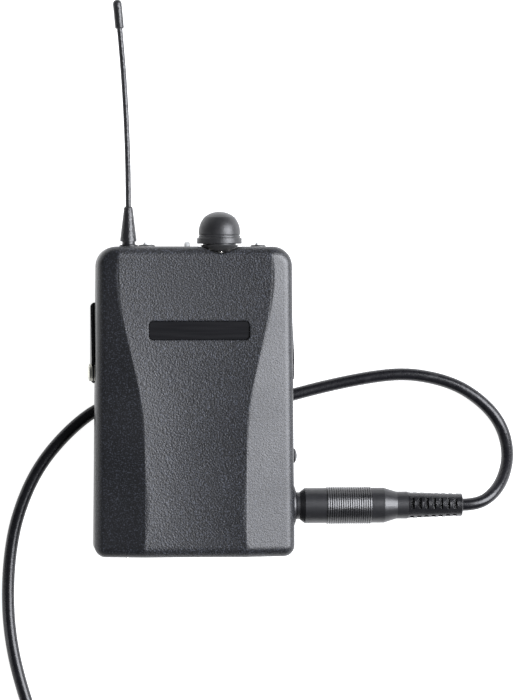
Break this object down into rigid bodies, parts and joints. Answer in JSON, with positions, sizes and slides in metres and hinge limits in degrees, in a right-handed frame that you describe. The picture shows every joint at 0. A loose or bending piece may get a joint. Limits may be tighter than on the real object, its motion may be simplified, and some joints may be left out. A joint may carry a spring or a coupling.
{
  "type": "wireless guitar transmitter",
  "caption": "Belt-worn wireless guitar transmitter with a whip antenna, a level knob, a sprung belt clip, a battery door and a plugged-in instrument lead.",
  "frame": {"origin": "on the outer flat face of the belt clip, which the pack lies on, midway across the case and midway along it", "axes": "+Z out of the front face (up as it lies), +Y along the case towards the antenna, +X towards the instrument socket"},
  "size_m": [0.168, 0.2943, 0.029],
  "materials": {
    "case_plastic": "fine texture",
    "badge_gloss": "gloss",
    "label": "satin",
    "board": "satin",
    "tin": "satin",
    "chip": "matte",
    "cell_wrap": "gloss",
    "soft_rubber": "soft matte",
    "nickel": "polished nickel",
    "antenna_jacket": "satin",
    "light_lens": "diffuse lens",
    "trim_black": "satin",
    "plug_shell": "satin",
    "relief_rubber": "matte",
    "cord_jacket": "satin",
    "tie_strap": "woven",
    "black_steel": "satin black",
    "spring_steel": "bright"
  },
  "bodies": {
    "case": {"front_shell": "case_plastic", "rear_shell": "case_plastic", "badge": "badge_gloss", "rear_label": "label", "main_board": "board", "rf_shield": "tin", "board_chips": "chip", "battery_cells": "cell_wrap", "battery_ends": "tin", "battery_contacts": "tin", "battery_springs": "tin", "level_control": "chip", "level_control_nut": "nickel", "antenna_ferrule": "antenna_jacket", "antenna_boot": "soft_rubber", "antenna_whip": "antenna_jacket", "antenna_tip": "antenna_jacket", "power_bezel": "trim_black", "power_light": "light_lens", "signal_light": "light_lens", "mute_bezel": "trim_black", "mute_switch": "chip", "side_switch": "chip", "status_stud": "nickel", "jack_body": "trim_black", "jack_bezel": "trim_black", "jack_contact": "tin", "plug_tip": "nickel", "plug_insulator": "trim_black", "plug_sleeve": "nickel", "plug_collar": "plug_shell", "plug_handle": "plug_shell", "plug_grip": "soft_rubber", "plug_strain_relief": "relief_rubber", "far_plug_tip": "nickel", "far_plug_insulator": "trim_black", "far_plug_sleeve": "nickel", "far_plug_collar": "plug_shell", "far_plug_handle": "plug_shell", "far_plug_grip": "relief_rubber", "far_plug_strain_relief": "relief_rubber", "cord_tube": "cord_jacket", "cord_coil": "cord_jacket", "cord_tie": "tie_strap", "clip_pin_left": "nickel", "clip_pin_right": "nickel", "clip_spring": "spring_steel", "back_pad": "soft_rubber", "case_screws": "spring_steel", "board_screws": "spring_steel"},
    "level": {"level_shaft": "nickel", "level_skirt": "soft_rubber", "level_knob": "soft_rubber"},
    "door": {"battery_door": "case_plastic"},
    "mute": {"mute_button": "light_lens"},
    "side_key": {"side_button": "trim_black"},
    "clip": {"belt_clip": "black_steel"}
  },
  "joints": [
    {"name": "level_turn", "type": "hinge", "parent": "case", "child": "level", "pos_m": [0.0082, 0.05, 0.0195], "axis": [0, 1, 0], "range_deg": [0, 300]},
    {"name": "clip_squeeze", "type": "hinge", "parent": "case", "child": "clip", "pos_m": [0, 0.0092, 0.012], "axis": [1, 0, 0], "range_deg": [0, 10], "stiffness_Nm_per_rad": 1, "springref_deg": -14.32, "deforming": ["clip_spring"]},
    {"name": "door_slide", "type": "slide", "parent": "case", "child": "door", "axis": [0, -1, 0], "range_m": [0, 0.052]},
    {"name": "mute_press", "type": "slide", "parent": "case", "child": "mute", "axis": [0, -1, 0], "range_m": [0, 0.0005], "stiffness_N_per_m": 400, "springref_m": -0.001},
    {"name": "side_press", "type": "slide", "parent": "case", "child": "side_key", "axis": [-1, 0, 0], "range_m": [0, 0.0007], "stiffness_N_per_m": 400, "springref_m": -0.001}
  ]
}
